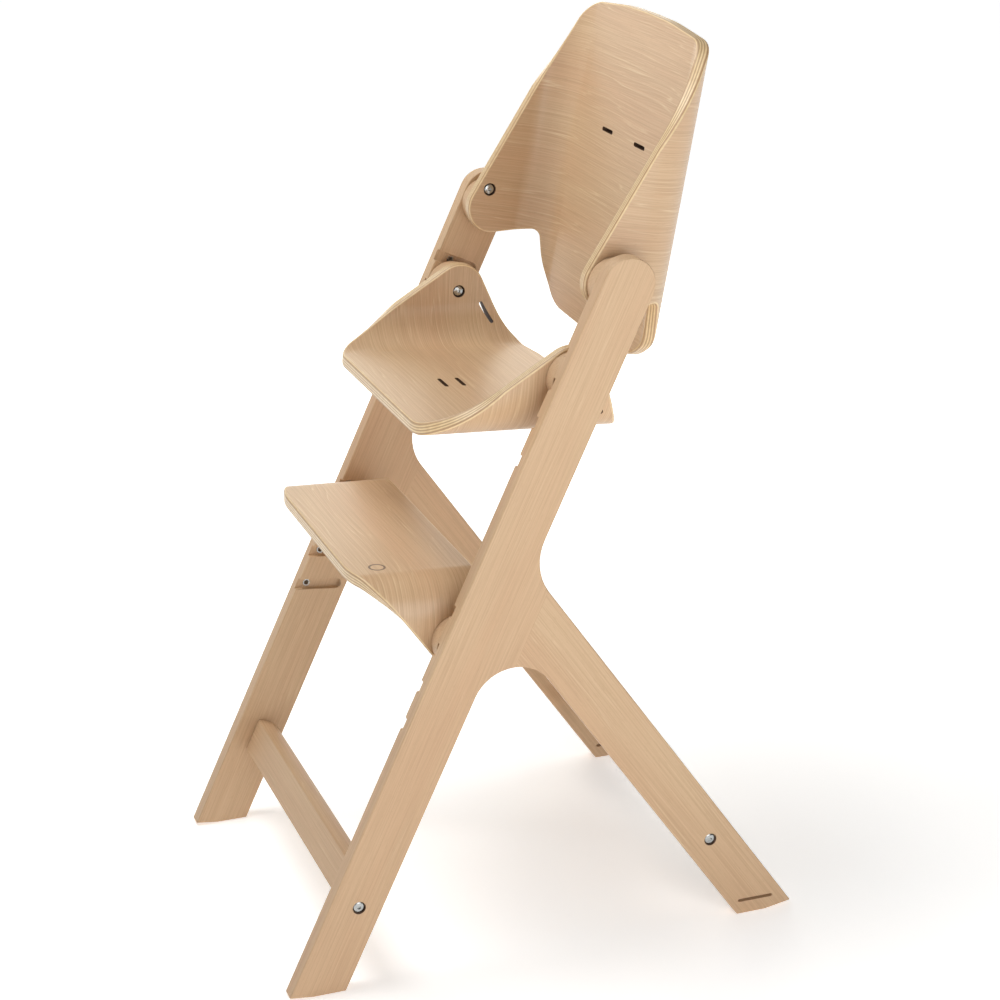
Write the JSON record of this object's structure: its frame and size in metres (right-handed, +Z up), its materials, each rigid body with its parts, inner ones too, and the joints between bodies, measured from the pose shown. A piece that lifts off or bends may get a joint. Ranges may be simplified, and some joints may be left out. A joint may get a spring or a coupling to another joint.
{
  "type": "baby high chair",
  "caption": "Wooden baby high chair with slanted side frames, bent plywood seat, footrest and tilting backrest, grooves for other heights and crossbars near the floor.",
  "frame": {"origin": "on the floor, at the middle of the chair's width and depth", "axes": "+Z up, the chair faces -Y, +X towards a seated child's left"},
  "size_m": [0.46, 0.6156, 1.027],
  "materials": {
    "beech": "clear matt lacquer on solid beech",
    "plywood": "clear matt lacquer on beech plywood, layers seen on the edges",
    "bolt": "bright zinc",
    "insert": "dull zinc"
  },
  "bodies": {
    "frame": {"foot_groove_1_insert_left": "insert", "foot_groove_1_insert_right": "insert", "foot_groove_2_insert_left": "insert", "foot_groove_2_insert_right": "insert", "foot_groove_3_insert_left": "insert", "foot_groove_3_insert_right": "insert", "foot_groove_4_insert_left": "insert", "foot_groove_4_insert_right": "insert", "footrest": "plywood", "footrest_bolt_left": "bolt", "footrest_bolt_right": "bolt", "footrest_disc_insert_left": "insert", "footrest_disc_insert_right": "insert", "footrest_disc_left": "beech", "footrest_disc_right": "beech", "footrest_lock_screw_left": "bolt", "footrest_lock_screw_right": "bolt", "front_crossbar": "beech", "front_crossbar_bolt_left": "bolt", "front_crossbar_bolt_right": "bolt", "front_crossbar_nut_left": "bolt", "front_crossbar_nut_right": "bolt", "front_leg_left": "beech", "front_leg_right": "beech", "pivot_insert_left": "insert", "pivot_insert_right": "insert", "pivot_screw_left": "bolt", "pivot_screw_right": "bolt", "rear_crossbar": "beech", "rear_crossbar_bolt_left": "bolt", "rear_crossbar_bolt_right": "bolt", "rear_crossbar_nut_left": "bolt", "rear_crossbar_nut_right": "bolt", "rear_leg_left": "beech", "rear_leg_right": "beech", "seat": "plywood", "seat_bolt_left": "bolt", "seat_bolt_right": "bolt", "seat_disc_insert_left": "insert", "seat_disc_insert_right": "insert", "seat_disc_left": "beech", "seat_disc_right": "beech", "seat_groove_1_insert_left": "insert", "seat_groove_1_insert_right": "insert", "seat_groove_2_insert_left": "insert", "seat_groove_2_insert_right": "insert", "seat_groove_3_insert_left": "insert", "seat_groove_3_insert_right": "insert", "seat_lock_screw_left": "bolt", "seat_lock_screw_right": "bolt", "top_groove_insert_left": "insert", "top_groove_insert_right": "insert"},
    "backrest": {"backrest": "plywood", "backrest_disc_left": "beech", "backrest_disc_right": "beech", "backrest_disc_insert_left": "insert", "backrest_disc_insert_right": "insert", "backrest_bolt_left": "bolt", "backrest_bolt_right": "bolt"}
  },
  "joints": [
    {"name": "backrest_tilt", "type": "hinge", "parent": "frame", "child": "backrest", "pos_m": [0, 0.08502, 0.77475], "axis": [1, 0, 0], "range_deg": [-8, 6]}
  ]
}
